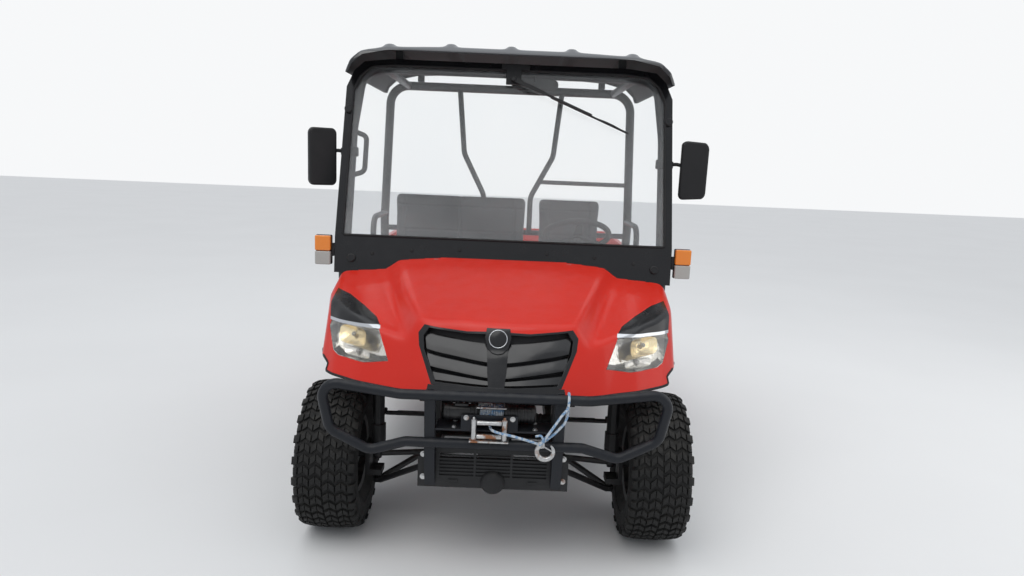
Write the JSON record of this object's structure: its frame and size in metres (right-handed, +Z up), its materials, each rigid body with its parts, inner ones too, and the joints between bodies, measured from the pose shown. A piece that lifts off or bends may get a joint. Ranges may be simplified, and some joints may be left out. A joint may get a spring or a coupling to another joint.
{
  "type": "side by side utv",
  "caption": "Utility side by side vehicle with roof, windscreen, bench and driver seat, front winch and guard, lifting bonnet and tipping bed with tailgate.",
  "frame": {"origin": "on the floor below the middle of the whole vehicle", "axes": "+Z up, front faces -Y, +X is the vehicle's own left, the driver's side"},
  "size_m": [1.8713, 3.026, 2.108],
  "materials": {
    "body_red": "satin orange-red moulding",
    "bed_red": "gloss orange-red paint",
    "frame_paint": "semi-gloss black paint",
    "tube_paint": "satin black powder coat",
    "cage_paint": "satin black powder coat",
    "winch_black": "textured black",
    "zinc": "zinc plated, lightly rusted",
    "black_plastic": "grained black moulding",
    "roof_plastic": "gloss black moulding",
    "gloss_black": "gloss black",
    "grille_black": "gloss black",
    "screen_clear": "clear polycarbonate",
    "seat_vinyl": "grained black vinyl",
    "tyre": "black rubber",
    "rim_paint": "black painted steel",
    "lamp_housing": "black housing with amber and clear lenses",
    "lamp_clear": "clear lens with reflector",
    "tail_lens": "red lens",
    "chrome_trim": "bright trim",
    "cast_metal": "cast metal",
    "bare_steel": "plain steel",
    "strut_paint": "black springs",
    "ram_black": "gloss black",
    "rope_blue": "blue and white synthetic rope"
  },
  "bodies": {
    "chassis": {"bonnet_hinges": "bare_steel", "chassis_frame": "frame_paint", "dash": "black_plastic", "engine": "cast_metal", "exhaust": "bare_steel", "fairlead": "zinc", "floor_tub": "black_plastic", "front_arms": "frame_paint", "front_final_drive": "cast_metal", "front_guard": "tube_paint", "front_struts": "strut_paint", "grab_handle": "black_plastic", "half_shafts": "bare_steel", "hip_guards": "cage_paint", "mirrors": "black_plastic", "prop_shaft": "bare_steel", "radiator_guard": "tube_paint", "rear_arms": "frame_paint", "rear_hubs": "frame_paint", "rear_struts": "strut_paint", "roof": "roof_plastic", "rops_front_hoop": "cage_paint", "rops_rear_hoop": "cage_paint", "rops_roof_rails": "cage_paint", "seat_backs": "seat_vinyl", "seat_base": "black_plastic", "seat_cushions": "seat_vinyl", "side_lamps": "lamp_housing", "steering_column": "black_plastic", "steering_rack": "cast_metal", "tail_lamps": "tail_lens", "transaxle": "cast_metal", "winch": "winch_black", "winch_hook": "zinc", "winch_rope": "rope_blue", "windscreen": "screen_clear", "windscreen_frame": "gloss_black", "wiper_motor": "black_plastic"},
    "bonnet": {"bonnet": "body_red", "grille": "grille_black", "headlamps": "lamp_clear", "lamp_trims": "chrome_trim"},
    "knuckle_left": {"knuckle_left": "frame_paint"},
    "knuckle_right": {"knuckle_right": "frame_paint"},
    "tie_bar": {"tie_bar": "bare_steel"},
    "steering_wheel": {"steering_wheel": "black_plastic"},
    "wiper_arm": {"wiper_arm": "black_plastic"},
    "wheel_front_left": {"rim_front_left": "rim_paint", "tyre_front_left": "tyre"},
    "wheel_front_right": {"rim_front_right": "rim_paint", "tyre_front_right": "tyre"},
    "wheel_rear_left": {"rim_rear_left": "rim_paint", "tyre_rear_left": "tyre"},
    "wheel_rear_right": {"rim_rear_right": "rim_paint", "tyre_rear_right": "tyre"},
    "bed": {"bed": "bed_red"},
    "tailgate": {"tailgate": "bed_red"},
    "ram_barrel": {"ram_barrel": "ram_black"},
    "ram_rod": {"ram_rod": "bare_steel"}
  },
  "joints": [
    {"name": "steer_left", "type": "hinge", "parent": "chassis", "child": "knuckle_left", "pos_m": [0.5, -1.04, 0.31], "axis": [0, 0, 1], "range_deg": [-28, 28]},
    {"name": "steer_right", "type": "hinge", "parent": "chassis", "child": "knuckle_right", "pos_m": [-0.5, -1.04, 0.31], "axis": [0, 0, 1], "range_deg": [-28.1, 28.1]},
    {"name": "steering_wheel_turn", "type": "hinge", "parent": "chassis", "child": "steering_wheel", "pos_m": [0.359, -0.42, 1.218], "axis": [0, 0.515, 0.8572], "range_deg": [-425, 425]},
    {"name": "tie_bar_slide", "type": "slide", "parent": "chassis", "child": "tie_bar", "axis": [1, 0, 0], "range_m": [-0.062, 0.062]},
    {"name": "spin_front_left", "type": "hinge", "parent": "knuckle_left", "child": "wheel_front_left", "pos_m": [0.665, -1.04, 0.31], "axis": [1, 0, 0], "continuous": true},
    {"name": "spin_front_right", "type": "hinge", "parent": "knuckle_right", "child": "wheel_front_right", "pos_m": [-0.665, -1.04, 0.31], "axis": [1, 0, 0], "continuous": true},
    {"name": "spin_rear_left", "type": "hinge", "parent": "chassis", "child": "wheel_rear_left", "pos_m": [0.665, 1.01, 0.31], "axis": [1, 0, 0], "continuous": true},
    {"name": "spin_rear_right", "type": "hinge", "parent": "chassis", "child": "wheel_rear_right", "pos_m": [-0.665, 1.01, 0.31], "axis": [1, 0, 0], "continuous": true},
    {"name": "bonnet_lift", "type": "hinge", "parent": "chassis", "child": "bonnet", "pos_m": [0, -0.73188, 1.115], "axis": [-1, 0, 0], "range_deg": [0, 48]},
    {"name": "bed_tilt", "type": "hinge", "parent": "chassis", "child": "bed", "pos_m": [0, 1.4, 0.768], "axis": [-1, 0, 0], "range_deg": [0, 45]},
    {"name": "tailgate_drop", "type": "hinge", "parent": "bed", "child": "tailgate", "pos_m": [0, 1.492, 0.788], "axis": [-1, 0, 0], "range_deg": [0, 90]},
    {"name": "ram_swing", "type": "hinge", "parent": "chassis", "child": "ram_barrel", "pos_m": [0.179, 1.3, 0.472], "axis": [-1, 0, 0], "range_deg": [-1, 19.34]},
    {"name": "ram_slide", "type": "slide", "parent": "ram_barrel", "child": "ram_rod", "axis": [0, -0.4882, 0.8727], "range_m": [-0.001, 0.15473]},
    {"name": "wiper_sweep", "type": "hinge", "parent": "chassis", "child": "wiper_arm", "pos_m": [0.016, -0.48521, 1.946], "axis": [0, 0.9624, -0.2718], "range_deg": [0, 130]}
  ],
  "couplings": [
    {"joint": "steer_right", "follows": "steer_left", "ratio": 1},
    {"joint": "steering_wheel_turn", "follows": "steer_left", "ratio": 15},
    {"joint": "tie_bar_slide", "follows": "steer_left", "m_per_rad": -0.125},
    {"joint": "ram_swing", "follows": "bed_tilt", "ratio": 0.40753},
    {"joint": "ram_slide", "follows": "bed_tilt", "m_per_rad": 0.19573}
  ]
}
